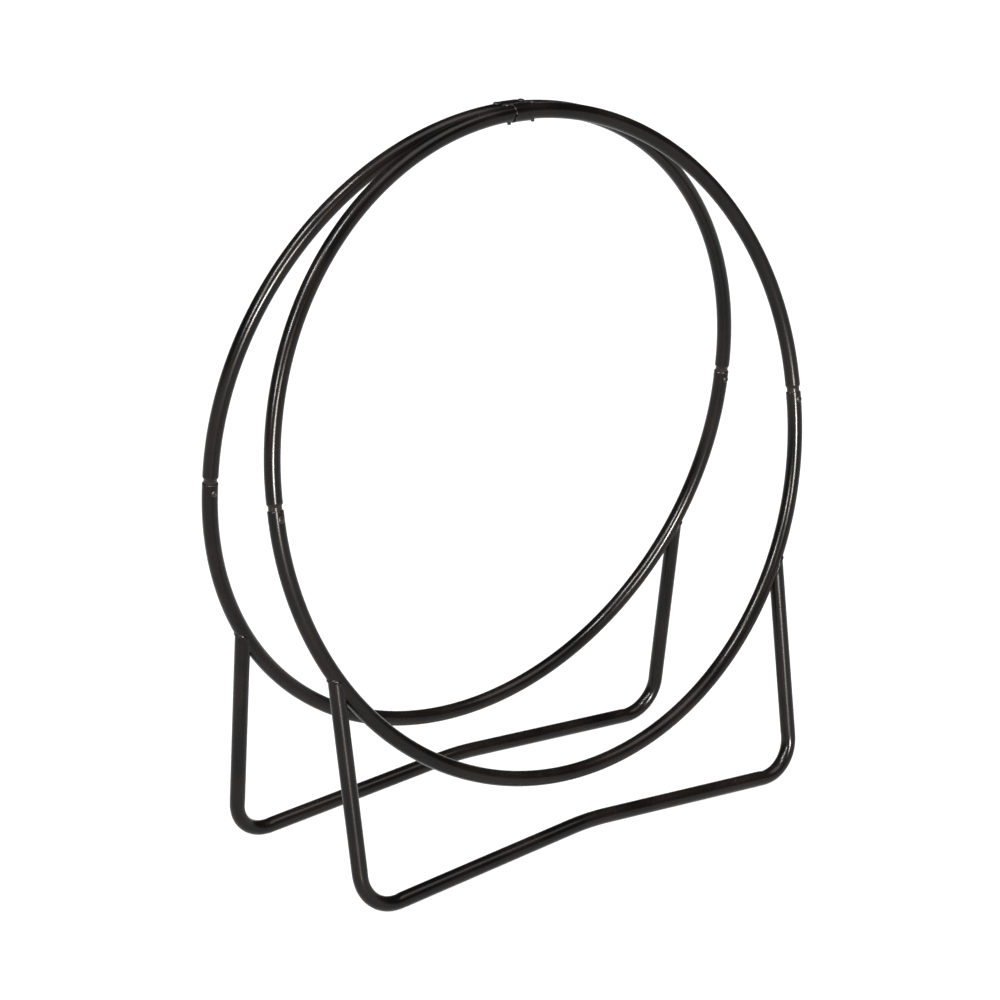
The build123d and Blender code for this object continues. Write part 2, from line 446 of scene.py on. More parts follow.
@dataclass(frozen=True)
class HoopPlane:
    """One hoop's plane: u runs across the rack, v up the hoop, and w towards the front."""

    side: Side
    centre: Vector
    lean: float
    radius: float

    def place(self, u: Array, v: Array, w: Array) -> Array:
        """Points of the plane's own coordinates, in the rack's.

        Args:
            u: Across.
            v: Up the hoop, from the line through its side joints.
            w: Towards the front.

        Returns:
            An array with one more axis, for x, y and z.
        """
        sign, sin, cos = self.side.sign, math.sin(self.lean), math.cos(self.lean)
        y = self.centre.y - sign * sin * v - cos * w
        z = self.centre.z + cos * v - sign * sin * w
        return np.stack([u + self.centre.x, y, z], axis=-1)

    def direction(self, u: float, v: float, w: float) -> Vector:
        """A direction of the plane's own coordinates, in the rack's."""
        zero, one = (self.place(*np.array(p, float)) for p in ((0, 0, 0), (u, v, w)))
        return Vector(one - zero)

    def point(self, u: float, v: float, w: float = 0.0) -> Vector:
        """One point of the plane's own coordinates, in the rack's."""
        return Vector(self.place(*np.array((u, v, w), float)))


@dataclass(frozen=True)
class Run:
    """A stretch of tube of one curvature, straight or bent."""

    start: Array
    heading: float
    length: float
    curvature: float

    def at(self, s: Array) -> tuple[Array, Array]:
        """Points and headings at lengths along the run.

        Args:
            s: Lengths from the run's start.

        Returns:
            The points, and the headings in radians.
        """
        heading = self.heading + self.curvature * s
        if self.curvature == 0:
            step = s[..., None] * np.array([math.cos(self.heading), math.sin(self.heading)])
        else:
            east = np.sin(heading) - math.sin(self.heading)
            north = math.cos(self.heading) - np.cos(heading)
            step = np.stack([east, north], axis=-1) / self.curvature
        return self.start + step, heading


@dataclass
class Route:
    """A bent tube's centre line in its hoop's plane, as a bender makes it."""

    start: tuple[float, float]
    heading: float
    runs: list[Run] = field(default_factory=list)

    @property
    def length(self) -> float:
        """The whole length."""
        return sum(run.length for run in self.runs)

    def _next(self, length: float, curvature: float) -> Route:
        """Adds a run at the end.

        Args:
            length: The run's length.
            curvature: One over its radius, above 0 to the left.

        Returns:
            The route.
        """
        start, heading = np.array(self.start, float), self.heading
        if self.runs:
            last = self.runs[-1]
            start, angle = last.at(np.array(last.length))
            heading = float(angle)
        self.runs.append(Run(start, heading, length, curvature))
        return self

    def go(self, length: float) -> Route:
        """Straight on for a length."""
        return self._next(length, 0.0)

    def turn(self, radius: float, angle: float) -> Route:
        """A bend, to the left for an angle above 0."""
        return self._next(abs(angle) * radius, math.copysign(1 / radius, angle))

    @classmethod
    def through(cls, points: list[tuple[float, float]], radii: list[float]) -> Route:
        """A route with a bend at each inner point.

        Args:
            points: The corners of the line that the bends round off.
            radii: One radius for each inner point.

        Returns:
            The route.
        """
        corners = [np.array(p, float) for p in points]
        legs = [b - a for a, b in zip(corners, corners[1:])]
        angles = [math.atan2(leg[1], leg[0]) for leg in legs]
        route, spent = cls(points[0], angles[0]), 0.0
        for i, radius in enumerate(radii):
            bend = math.remainder(angles[i + 1] - angles[i], math.tau)
            tangent = radius * math.tan(abs(bend) / 2)
            route.go(float(np.linalg.norm(legs[i])) - spent - tangent).turn(radius, bend)
            spent = tangent
        return route.go(float(np.linalg.norm(legs[-1])) - spent)

    def at(self, s: Array) -> tuple[Array, Array]:
        """Points and headings at lengths along the route.

        Args:
            s: Lengths from the start.

        Returns:
            The points, and the headings in radians.
        """
        points, headings = np.zeros((*s.shape, 2)), np.zeros(s.shape)
        begun = 0.0
        for i, run in enumerate(self.runs):
            here = (s >= begun) if i else np.ones(s.shape, bool)
            at, heading = run.at(s[here] - begun)
            points[here], headings[here] = at, heading
            begun += run.length
        return points, headings

    def bend_middles(self, tightest: float) -> list[tuple[float, float]]:
        """Finds the tight bends.

        Args:
            tightest: Only bends of a smaller radius count.

        Returns:
            The middle and half length of each.
        """
        found, begun = [], 0.0
        for run in self.runs:
            if run.curvature and 1 / abs(run.curvature) < tightest:
                found.append((begun + run.length / 2, run.length / 2))
            begun += run.length
        return found


@dataclass
class Shell:
    """A mesh in the making: its points, faces and what its points know."""

    points: Array
    faces: list[tuple[int, ...]]
    marks: dict[str, Array] = field(default_factory=dict)

    @classmethod
    def from_rings(cls, rings: Array, marks: dict[str, Array], loop: bool) -> Shell:
        """Joins rings of points into a skin.

        Args:
            rings: Points by ring, place round the ring, and axis.
            marks: Numbers by ring and place, for attributes.
            loop: The last ring joins the first. Otherwise both end rings are filled.

        Returns:
            The skin, closed.
        """
        count, sides = rings.shape[:2]
        joined = count if loop else count - 1
        ring, side = np.meshgrid(np.arange(joined), np.arange(sides), indexing="ij")
        after, beside = (ring + 1) % count, (side + 1) % sides
        corners = ((ring, side), (after, side), (after, beside), (ring, beside))
        quads = [across * sides + place for across, place in corners]
        faces = [tuple(q) for q in np.stack(quads, axis=-1).reshape(-1, 4).tolist()]
        if not loop:
            faces.append(tuple(range(sides)))
            faces.append(tuple(reversed(range((count - 1) * sides, count * sides))))
        return cls(rings.reshape(-1, 3), faces, {k: v.reshape(-1) for k, v in marks.items()})

    def build(self, name: str) -> bpy.types.Object:
        """Makes the object, at the origin.

        Args:
            name: The object's name.

        Returns:
            The object, linked to the scene.
        """
        mesh = bpy.data.meshes.new(name)
        mesh.from_pydata(self.points.tolist(), [], self.faces)
        for key, values in self.marks.items():
            mark = mesh.attributes.new(key, "FLOAT", "POINT")
            mark.data.foreach_set("value", values.astype(np.float32))
        mesh.shade_smooth()
        mesh.update()
        return linked(name, mesh)


def smooth(x: Array) -> Array:
    """A smooth step from 0 to 1."""
    x = np.clip(x, 0, 1)
    return x * x * (3 - 2 * x)


@dataclass(frozen=True)
class TubeStock:
    """Round steel tube, and how finely it is drawn."""

    radius: float = 12.0 * MM
    wall: float = 1.2 * MM
    sides: int = 64
    step: float = 4.0 * MM
    bore_stride: int = 3
    corner: float = 0.5 * MM

    @property
    def bore(self) -> float:
        """The bore's radius."""
        return self.radius - self.wall

    def lengths(self, start: float, end: float, close: list[float]) -> Array:
        """Lengths along a tube for its rings, finer near some places.

        Args:
            start: The first length.
            end: The last length.
            close: Places along it that need finer steps round them.

        Returns:
            The lengths, rising.
        """
        even = np.linspace(start, end, max(2, int((end - start) / self.step) + 1))
        away = np.array([0.3, 0.6, 1, 1.4, 2, 3, 4, 6])
        spread = np.concatenate([-away[::-1], [0], away]) * MM
        fine = np.concatenate([place + spread for place in close])
        fine = fine[(fine > start + 0.2 * MM) & (fine < end - 0.2 * MM)]
        return np.unique(np.concatenate([even, fine]).round(5))

    def lip(self, end: float, outward: int, outer: float) -> tuple[Array, Array]:
        """The rounded cut end between the outside and the bore.

        Args:
            end: The length at which the tube ends.
            outward: 1 where the tube ends, -1 where it starts.
            outer: The outside radius there.

        Returns:
            Lengths and radii from the outside to the bore.
        """
        turn = np.linspace(0, math.pi / 2, 4)
        over, under = turn, turn + math.pi / 2
        corner = min(self.corner, self.wall / 2)
        s = end + outward * corner * (np.sin(np.concatenate([over, under])) - 1)
        bore = outer - self.wall
        r = [outer - corner + corner * np.cos(over), bore + corner + corner * np.cos(under)]
        return s, np.concatenate(r)


def steady(s: Array, around: Array) -> Array:
    """Nothing anywhere: a tube that isn't changed."""
    return np.zeros(np.broadcast(s, around).shape)


@dataclass
class TubeSkin:
    """The skin of a tube along a route: outside, cut ends and bore.

    The callables take lengths along the route and angles round the tube, where 0 is
    the side on the right of someone walking the route.
    """

    plane: HoopPlane
    stock: TubeStock
    route: Route
    grow: SkinRule = steady
    flatten: SkinRule = steady
    dent: SkinRule = steady
    thin: SkinRule = steady
    shift: SkinRule = steady
    rim_wear: float = 2.4 * MM

    def points(self, s: Array, around: Array, radius: Array) -> Array:
        """Points on the skin.

        Args:
            s: Lengths along the route.
            around: Angles round the tube.
            radius: Distances from the centre line.

        Returns:
            Points, with one more axis than the arguments.
        """
        at, heading = self.route.at(s)
        flat = self.flatten(s, around)
        out = radius * (1 - flat) * np.cos(around) + self.dent(s, around)
        u = at[..., 0] + out * np.sin(heading)
        v = at[..., 1] - out * np.cos(heading)
        return self.plane.place(u, v, radius * (1 + 0.5 * flat) * np.sin(around))

    def shell(self, close: Sequence[float] = ()) -> Shell:
        """Builds the whole skin.

        Args:
            close: Lengths along the route that need finer rings.

        Returns:
            The skin, closed.
        """
        stock, end = self.stock, self.route.length
        corner = min(stock.corner, stock.wall / 2)
        run = stock.lengths(corner, end - corner, [0.0, end, *close])
        last_s, last_r = stock.lip(end, 1, stock.radius)
        first_s, first_r = stock.lip(0.0, -1, stock.radius)
        inside = np.concatenate([run[:1], run[1:-1][:: stock.bore_stride], run[-1:]])
        s = np.concatenate([run, last_s[1:-1], inside[::-1], first_s[::-1][1:-1]])
        outer, bore = np.full(run.shape, stock.radius), np.full(inside.shape, stock.bore)
        r = np.concatenate([outer, last_r[1:-1], bore, first_r[::-1][1:-1]])
        around = np.linspace(0, math.tau, stock.sides, endpoint=False)[None, :]
        s, r = (np.repeat(a[:, None], stock.sides, axis=1) for a in (s, r))
        r = r + self.grow(s, around)
        rim = np.minimum(s, end - s)
        marks = {"wear": smooth(1 - rim / self.rim_wear), "thin": self.thin(s, around)}
        s = s + self.shift(s, around)
        return Shell.from_rings(self.points(s, around, r), marks, loop=True)


@dataclass
class Dresser:
    """Gives finished pieces their material and body."""

    materials: dict[str, bpy.types.Material]

    def dress(self, piece: bpy.types.Object, slot: str, *nodes: str) -> None:
        """Gives one finished piece its material and body, and hides the CAD nodes it stands for.

        Args:
            piece: The piece, at the origin.
            slot: The record's material slot, which picks its material.
            nodes: CAD nodes that it stands for.
        """
        piece.data.materials.clear()
        piece.data.materials.append(self.materials[slot])
        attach(piece, BODY)
        if nodes:
            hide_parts(*nodes)
        log.info("%s: %d faces, finish %s", piece.name, len(piece.data.polygons), slot)

    def repaint(self, node: str, slot: str) -> None:
        """Gives a CAD node that stays its material.

        Args:
            node: The node's name.
            slot: The record's material slot.
        """
        part = frame["nodes"][node]
        part.data.materials.clear()
        part.data.materials.append(self.materials[slot])
        log.info("%s: kept from the frame, finish %s", node, slot)


# --- recipes that repeat a thing or run a bead along a line ---


class Recipe(Graph):
    """A Geometry Nodes tree that takes a piece's mesh and returns a new one."""

    KINDS = {
        "Geometry": "NodeSocketGeometry",
        "Float": "NodeSocketFloat",
        "Object": "NodeSocketObject",
        "Material": "NodeSocketMaterial",
    }

    def __init__(self, name: str, inputs: dict[str, str]) -> None:
        """Makes a tree with one geometry input, its named inputs and one geometry output.

        Args:
            name: The tree's name.
            inputs: Kinds of socket by name.
        """
        super().__init__(bpy.data.node_groups.new(name, "GeometryNodeTree"))
        self.ids: dict[str, str] = {}
        face = self.tree.interface
        for key, kind in {"Geometry": "Geometry", **inputs}.items():
            item = face.new_socket(key, in_out="INPUT", socket_type=self.KINDS[kind])
            self.ids[key] = item.identifier
        face.new_socket("Geometry", in_out="OUTPUT", socket_type=self.KINDS["Geometry"])
        self.given = self.tree.nodes.new("NodeGroupInput")

    def take(self, name: str) -> Wire:
        """One of the tree's inputs."""
        return Wire(self, self.given.outputs[name])

    def end(self, geometry: Wire) -> None:
        """Ends the tree with real geometry in its finish.

        Args:
            geometry: What the tree has made.
        """
        real = self.add("GeometryNodeRealizeInstances", {}, {0: geometry})
        done = self.add("GeometryNodeSetMaterial", {}, {0: real, "Material": self.take("Finish")})
        self.add("NodeGroupOutput", {}, {0: done}, output=None)

    def make(self, start: bpy.types.Mesh, name: str, values: dict[str, Any]) -> bpy.types.Object:
        """Runs the tree on a mesh and keeps the result as a plain mesh.

        Args:
            start: What the tree starts from.
            name: The piece's name.
            values: The tree's named inputs.

        Returns:
            The finished object, with no modifier.
        """
        piece = linked(name, start)
        modifier = piece.modifiers.new(self.tree.name, "NODES")
        modifier.node_group = self.tree
        for key, value in values.items():
            modifier[self.ids[key]] = value
        applied(piece).name = name
        return piece


def line_mesh(name: str, lines: list[Array], closed: bool) -> bpy.types.Mesh:
    """A mesh of edges only, one chain for each line.

    Args:
        name: The mesh's name.
        lines: Points of each line.
        closed: Each line's end joins its start.

    Returns:
        The mesh.
    """
    points, edges = [], []
    for line in lines:
        first, count = len(points), len(line)
        points += line.tolist()
        edges += [(first + i, first + i + 1) for i in range(count - 1)]
        if closed:
            edges.append((first + count - 1, first))
    mesh = bpy.data.meshes.new(name)
    mesh.from_pydata(points, edges, [])
    return mesh


@dataclass(frozen=True)
class Bead:
    """The sizes of one bead."""

    radius: float
    ripple_length: float = 2.1 * MM
    ripple_depth: float = 0.16 * MM
    lumps: float = 0.28 * MM
    taper: float = 0.0
    seed: float = 0.0

    def inputs(self) -> dict[str, float]:
        """The sizes, by the names of the recipe's inputs."""
        return {key.replace("_", " ").title(): value for key, value in asdict(self).items()}


@dataclass
class BeadRecipe:
    """A rippled bead along a line, such as a weld or a ring of gathered paint."""

    recipe: Recipe = field(init=False)
    sides: int = 20
    ripple_steps: float = 7.0
    lump_scale: float = 260.0

    def __post_init__(self) -> None:
        """Builds the tree."""
        sizes = dict.fromkeys(Bead(0.0).inputs(), "Float")
        self.recipe = r = Recipe("bead_along_line", {**sizes, "Finish": "Material"})
        skin, length, turn = self._sweep()

        # Each ripple is a crest that leans back round the bead.
        lean = r.add("ShaderNodeMath", {"operation": "COSINE"}, {0: turn * math.tau})
        along = length * (1.0 / r.take("Ripple Length")) + 0.3 * lean
        phase = r.add("ShaderNodeMath", {"operation": "FRACT"}, {0: along})
        crest = 1 - (2 * phase - 1) ** 2.0
        values = {"W": r.take("Seed"), "Scale": self.lump_scale, "Detail": 2.0}
        lumps = r.add("ShaderNodeTexNoise", {"noise_dimensions": "4D"}, values)
        rise = r.take("Ripple Depth") * (crest - 0.6) + r.take("Lumps") * (2 * lumps - 1)
        normal = r.add("GeometryNodeInputNormal")
        offset = r.add("ShaderNodeVectorMath", {"operation": "SCALE"}, {0: normal, "Scale": rise})
        skin = r.add("GeometryNodeSetPosition", {}, {"Geometry": skin, "Offset": offset})
        r.end(r.add("GeometryNodeSetShadeSmooth", {}, {"Geometry": skin, "Shade Smooth": True}))

    def _sweep(self) -> tuple[Wire, Wire, Wire]:
        """Sweeps a ring along the lines.

        Returns:
            The plain skin, the length along the line, and the place round the ring.
        """
        r = self.recipe
        curve = r.add("GeometryNodeMeshToCurve", {}, {"Mesh": r.take("Geometry")})
        values = {"Curve": curve, "Length": r.take("Ripple Length") * (1 / self.ripple_steps)}
        curve = r.add("GeometryNodeResampleCurve", {"mode": "LENGTH"}, values)
        along = r.add("GeometryNodeSplineParameter", output="Factor")
        ends = (4.0 * along * (1 - along)).clamp() ** 0.35
        radius = 1 - r.take("Taper") * (1 - ends)
        curve = r.add("GeometryNodeSetCurveRadius", {}, {"Curve": curve, "Radius": radius})
        line, length = self._capture(curve, r.add("GeometryNodeSplineParameter", output="Length"))
        values = {"Resolution": self.sides, "Radius": r.take("Radius")}
        ring = r.add("GeometryNodeCurvePrimitiveCircle", {}, values)
        profile, turn = self._capture(ring, r.add("GeometryNodeSplineParameter", output="Factor"))
        values = {"Curve": line, "Profile Curve": profile, "Fill Caps": True}
        values["Scale"] = r.add("GeometryNodeInputRadius")
        return r.add("GeometryNodeCurveToMesh", {}, values), length, turn

    def _capture(self, geometry: Wire, value: Wire) -> tuple[Wire, Wire]:
        """Keeps a number on a geometry's points.

        Args:
            geometry: The geometry.
            value: The number to keep.

        Returns:
            The geometry, and the kept number.
        """
        tree = self.recipe.tree
        node = tree.nodes.new("GeometryNodeCaptureAttribute")
        node.domain = "POINT"
        node.capture_items.new("FLOAT", "kept")
        tree.links.new(geometry.socket, node.inputs[0])
        tree.links.new(value.socket, node.inputs[1])
        return Wire(self.recipe, node.outputs[0]), Wire(self.recipe, node.outputs[1])

    def run(
        self,
        name: str,
        lines: list[Array],
        bead: Bead,
        finish: bpy.types.Material,
        closed: bool = True,
    ) -> bpy.types.Object:
        """Lays a bead on each line, in a loop where it is closed."""
        values = {**bead.inputs(), "Finish": finish}
        return self.recipe.make(line_mesh(name, lines, closed), name, values)


@dataclass
class ScrewRecipe:
    """The same screw set at each point of a mesh, turned as the point says."""

    recipe: Recipe = field(init=False)

    def __post_init__(self) -> None:
        """Builds the tree."""
        inputs = {"Screw": "Object", "Size": "Float", "Finish": "Material"}
        self.recipe = r = Recipe("screw_at_points", inputs)
        vector = {"data_type": "FLOAT_VECTOR"}
        turn = r.add("GeometryNodeInputNamedAttribute", vector, {"Name": "turn"})
        screw = r.add("GeometryNodeObjectInfo", {}, {"Object": r.take("Screw")}, output="Geometry")
        turn = r.add("FunctionNodeEulerToRotation", {}, {0: turn})
        values = {"Points": r.take("Geometry"), "Instance": screw}
        values |= {"Rotation": turn, "Scale": r.take("Size")}
        r.end(r.add("GeometryNodeInstanceOnPoints", {}, values))

    def run(
        self, name: str, screw: bpy.types.Object, seats: list[Seat], finish: bpy.types.Material
    ) -> bpy.types.Object:
        """Sets a screw at each seat.

        Args:
            name: The piece's name.
            screw: The screw to repeat.
            seats: Where each head sits, which way it faces, and how far the screw is turned.
            finish: The material.

        Returns:
            The piece.
        """
        mesh = bpy.data.meshes.new(name)
        mesh.from_pydata([tuple(at) for at, _, _ in seats], [], [])
        turns = []
        for _, facing, spin in seats:
            turned = facing.to_track_quat("Z", "Y").to_matrix() @ Matrix.Rotation(spin, 3, "Z")
            turns += list(turned.to_euler())
        mesh.attributes.new("turn", "FLOAT_VECTOR", "POINT").data.foreach_set("vector", turns)
        return self.recipe.make(mesh, name, {"Screw": screw, "Size": 1.0, "Finish": finish})


# --- the rack's own pieces ---


@dataclass
class Hoop:
    """One hoop's sizes, and where its joints are."""

    side: Side
    lean: float = math.radians(8.25)
    straight: float = 14.0 * MM
    joint_depth: float = 6.0 * MM
    tube: TubeStock = TubeStock()
    screw_drop: float = 12.0 * MM
    top_screw_offset: float = 22.5 * MM

    def __post_init__(self) -> None:
        """Finds the hoop in the frame from its lower half's box."""
        low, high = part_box(f"{self.side.value}_lower_half")
        radius = (high.x - low.x) / 2 - self.tube.radius
        sin, cos, sign = math.sin(self.lean), math.cos(self.lean), self.side.sign
        outer_y = low.y if self.side is Side.FRONT else high.y
        y = outer_y - sign * (self.tube.radius + (radius + self.straight) * sin)
        z = low.z + self.tube.radius + (radius + self.straight) * cos
        self.plane = HoopPlane(self.side, Vector(((low.x + high.x) / 2, y, z)), self.lean, radius)

    @property
    def radius(self) -> float:
        """The centre line's radius."""
        return self.plane.radius

    def side_seat(self, hand: Hand) -> tuple[Vector, Vector]:
        """Finds a side screw's place.

        Args:
            hand: Which side joint.

        Returns:
            Where its head sits, and which way it faces.
        """
        depth = self.joint_depth + self.screw_drop
        at = self.plane.point(hand.sign * self.radius, -depth, self.tube.radius)
        return at, self.plane.direction(0, 0, 1)

    def top_seat(self, hand: Hand) -> tuple[Vector, Vector]:
        """Finds a top screw's place.

        Args:
            hand: Which upper quarter.

        Returns:
            Where its head sits, and which way it faces.
        """
        angle = math.pi / 2 - hand.sign * self.top_screw_offset / self.radius
        out = (math.cos(angle), math.sin(angle))
        reach = self.radius + self.tube.radius
        return self.plane.point(out[0] * reach, out[1] * reach), self.plane.direction(*out, 0)


@dataclass
class LowerHalf:
    """The lower half of a hoop: one tube bent to a half circle, with straight open ends."""

    hoop: Hoop

    def build(self, dresser: Dresser) -> None:
        """Builds and dresses the tube.

        Args:
            dresser: Gives it its finish.
        """
        hoop = self.hoop
        socket = hoop.straight - hoop.joint_depth
        route = Route((-hoop.radius, -hoop.joint_depth), -math.pi / 2)
        route.go(socket).turn(hoop.radius, math.pi).go(socket)
        skin = TubeSkin(hoop.plane, hoop.tube, route)
        shell = skin.shell((hoop.screw_drop, route.length - hoop.screw_drop))
        node = f"{hoop.side.value}_lower_half"
        dresser.dress(shell.build(f"{node}_tube"), ENAMEL_SLOT, node)


@dataclass
class UpperQuarter:
    """A quarter of a hoop: full tube with its lower end reduced to a neck."""

    hoop: Hoop
    hand: Hand
    neck_radius: float = 10.0 * MM
    neck_hidden: float = 34.0 * MM
    neck_shown: float = 11.0 * MM
    shoulder: float = 5.0 * MM
    scuff_fade: float = 8.0 * MM
    top_gap: float = 1.0 * MM

    @property
    def shoulder_start(self) -> float:
        """The length along the tube at which its shoulder starts."""
        return self.neck_hidden + self.neck_shown - self.shoulder

    def _reduce(self, s: Array, around: Array) -> Array:
        """How much the neck is smaller than the tube."""
        rise = smooth((s - self.shoulder_start) / self.shoulder)
        return (self.neck_radius - self.hoop.tube.radius) * (1 - rise) + 0 * around

    def _scuffs(self, s: Array, around: Array) -> Array:
        """Where the neck is scuffed from being plugged in, with a painted brownish sheen."""
        return 1 - smooth((s - self.shoulder_start) / self.scuff_fade) + 0 * around

    def build(self, dresser: Dresser) -> None:
        """Builds and dresses the tube.

        Args:
            dresser: Gives it its finish.
        """
        hoop, sign = self.hoop, self.hand.sign
        neck = self.neck_hidden + hoop.joint_depth
        route = Route((sign * hoop.radius, -neck), math.pi / 2)
        route.go(neck).turn(hoop.radius, sign * (math.pi / 2 - self.top_gap / hoop.radius))
        skin = TubeSkin(hoop.plane, hoop.tube, route, grow=self._reduce, thin=self._scuffs)
        shell = skin.shell((self.neck_hidden, self.shoulder_start + self.shoulder / 2))
        node = f"{hoop.side.value}_{self.hand.value}_upper_quarter"
        dresser.dress(shell.build(f"{node}_tube"), ENAMEL_SLOT, node)


@dataclass
class Collar:
    """The sleeve over the joint of a hoop's two upper quarters."""

    hoop: Hoop
    length: float = 32.0 * MM
    tube: TubeStock = TubeStock(14.0 * MM, 1.9 * MM, step=3.0 * MM, corner=0.55 * MM)
    rim_wear: float = 1.6 * MM

    def build(self, dresser: Dresser) -> None:
        """Builds and dresses the sleeve.

        Args:
            dresser: Gives it its finish.
        """
        radius = self.hoop.radius
        half = self.length / 2 / radius
        start = math.pi / 2 - half
        route = Route((radius * math.cos(start), radius * math.sin(start)), start + math.pi / 2)
        route.turn(radius, 2 * half)
        skin = TubeSkin(self.hoop.plane, self.tube, route, rim_wear=self.rim_wear)
        node = f"{self.hoop.side.value}_top_collar"
        dresser.dress(skin.shell().build(f"{node}_sleeve"), COUPLER_SLOT, node)


@dataclass
class Stand:
    """Two legs and the floor bar, bent from one tube and coped to the hoop."""

    hoop: Hoop
    leg_x: float = 428.5 * MM
    leg_toe: float = math.radians(0.7)
    corner_radius: float = 57.0 * MM
    bar_depth: float = 592.0 * MM
    bar_rise: float = 32.0 * MM
    bar_radius: float = 480.0 * MM
    overlap: float = 30.0 * MM
    cope_window: float = 120.0 * MM
    cope_halvings: int = 40
    weld_points: int = 96
    sink: float = 0.4 * MM
    tight: float = 100.0 * MM
    squeeze: float = 0.055
    squeeze_reach: float = 9.0 * MM
    squeeze_fade: float = 20.0 * MM
    pinch: float = 0.55 * MM
    pinch_length: float = 5.0 * MM
    upper_pinch: float = 0.35
    floor_wear: float = 1.6 * MM
    scraping: float = 0.75

    def __post_init__(self) -> None:
        """Lays out the route from leg top to leg top."""
        hoop = self.hoop
        leg_top = -hoop.straight - math.sqrt(hoop.radius**2 - self.leg_x**2)
        foot = -self.bar_depth - self.bar_rise
        foot_x = self.leg_x - math.tan(self.leg_toe) * (leg_top - foot)
        start_x = self.leg_x + math.tan(self.leg_toe) * self.overlap
        start = (start_x, leg_top + self.overlap)
        left = [(-start[0], start[1]), (-foot_x, foot)]
        corners = [*left, (0.0, -self.bar_depth), (foot_x, foot), start]
        radii = [self.corner_radius, self.bar_radius, self.corner_radius]
        self.route = Route.through(corners, radii)

    def _squeeze(self, s: Array, around: Array) -> Array:
        """How much the bends have flattened the tube.

        Args:
            s: Lengths along the route.
            around: Angles round the tube.

        Returns:
            Shares of the radius.
        """
        total = 0.0 * s * around
        for middle, half in self.route.bend_middles(self.tight):
            inside = half + self.squeeze_reach - np.abs(s - middle)
            total = total + self.squeeze * smooth(inside / self.squeeze_fade)
        return total

    def _pinch(self, s: Array, around: Array) -> Array:
        """The small marks that the bender leaves inside each bend, deeper towards the bar.

        Args:
            s: Lengths along the route.
            around: Angles round the tube.

        Returns:
            Depths.
        """
        total = 0.0 * s * around
        inner = np.clip(-np.cos(around), 0, 1) ** 2
        bar_middle = self.route.length / 2
        for middle, half in self.route.bend_middles(self.tight):
            for place in (middle - half, middle + half):
                lower = abs(place - bar_middle) < abs(middle - bar_middle)
                depth = self.pinch * (1.0 if lower else self.upper_pinch)
                near = np.exp(-(((s - place) / self.pinch_length) ** 2))
                total = total + depth * near * inner
        return total

    def _on_tube(
        self, s: Array, around: Array, radius: float
    ) -> tuple[Array, Array]:
        """Finds places round the tube, in the hoop's plane.

        Args:
            s: Lengths along the route.
            around: Angles round the tube.
            radius: Distance from the centre line.

        Returns:
            How far across and how far up they are.
        """
        at, heading = self.route.at(s)
        out = radius * np.cos(around)
        return at[..., 0] + out * np.sin(heading), at[..., 1] - out * np.cos(heading)

    def cope(self, around: Array, radius: float, sink: float) -> Array:
        """How far down the route's first leg the hoop's surface is met.

        Args:
            around: Angles round the leg.
            radius: Distance from the leg's centre line.
            sink: How far inside the hoop's surface to stop.

        Returns:
            Lengths along the route.
        """
        hoop = self.hoop
        across = radius * np.sin(around)
        rise = np.sqrt(np.clip(hoop.tube.radius**2 - across**2, 0, None))
        low, high = np.zeros(across.shape), np.full(across.shape, self.cope_window)
        for _ in range(self.cope_halvings):
            mid = (low + high) / 2
            u, v = self._on_tube(mid, around, radius)
            outside = np.hypot(u, v + hoop.straight) > hoop.radius + rise - sink
            low, high = np.where(outside, low, mid), np.where(outside, mid, high)
        return high

    def _shift(self, s: Array, around: Array) -> Array:
        """Moves the ends of both legs on to the cope.

        Args:
            s: Lengths along the route.
            around: Angles round the tube.

        Returns:
            How far each point moves along the route.
        """
        left, window = self.route.length - s, self.cope_window
        cut = self.cope(around, self.hoop.tube.radius, self.sink)
        down, up = cut * (1 - s / window), -cut * (1 - left / window)
        return np.where(s < window, down, np.where(left < window, up, 0.0))

    def build(self, dresser: Dresser) -> None:
        """Builds and dresses the tube.

        Args:
            dresser: Gives it its finish.
        """
        hoop = self.hoop
        rules = {"flatten": self._squeeze, "dent": self._pinch, "shift": self._shift}
        skin = TubeSkin(hoop.plane, hoop.tube, self.route, **rules)
        bends = self.route.bend_middles(self.tight)
        shell = skin.shell([middle + way * half for middle, half in bends for way in (-1, 0, 1)])
        shell.points[:, 2] -= shell.points[:, 2].min()
        scraped = self.scraping * smooth(1 - shell.points[:, 2] / self.floor_wear)
        shell.marks["wear"] = np.maximum(shell.marks["wear"], scraped)
        node = f"{hoop.side.value}_stand"
        dresser.dress(shell.build(f"{node}_tube"), ENAMEL_SLOT, node)

    def weld_line(self, hand: Hand, sink: float) -> Array:
        """The line round a leg's top where it meets the hoop.

        Args:
            hand: Which leg.
            sink: How far the line lies under the two surfaces.

        Returns:
            Points round the leg.
        """
        around = np.linspace(0, math.tau, self.weld_points, endpoint=False)
        radius = self.hoop.tube.radius - sink
        u, v = self._on_tube(self.cope(around, radius, sink), around, radius)
        return self.hoop.plane.place(-hand.sign * u, v, radius * np.sin(around))


